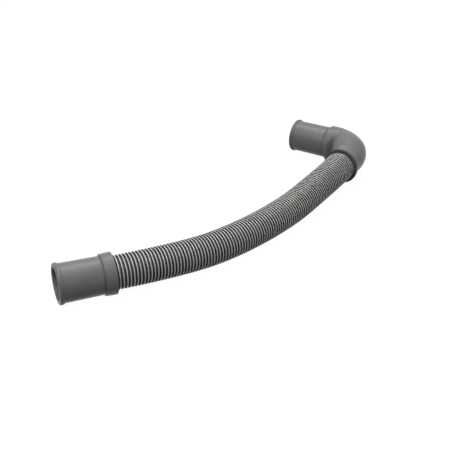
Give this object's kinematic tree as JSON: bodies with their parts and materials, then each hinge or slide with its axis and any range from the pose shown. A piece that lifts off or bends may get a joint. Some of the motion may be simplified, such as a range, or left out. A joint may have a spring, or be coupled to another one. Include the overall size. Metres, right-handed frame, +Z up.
{
  "type": "drain hose",
  "caption": "Short corrugated drain hose in a gentle curve, with a straight beaded cuff at one end and a right-angle elbow spigot at the other.",
  "frame": {"origin": "below the middle of the bounding box, on the surface that the hose lies on", "axes": "+Z up from that surface, +Y along the longer side of the bounding box, away from the camera of the picture"},
  "size_m": [0.3686, 0.4114, 0.0474],
  "materials": {
    "grey_plastic": "satin",
    "black_rubber": "matte"
  },
  "bodies": {
    "root": {"corrugated_hose": "grey_plastic", "straight_cuff": "grey_plastic", "elbow": "grey_plastic", "seal_ring": "black_rubber"}
  },
  "joints": []
}
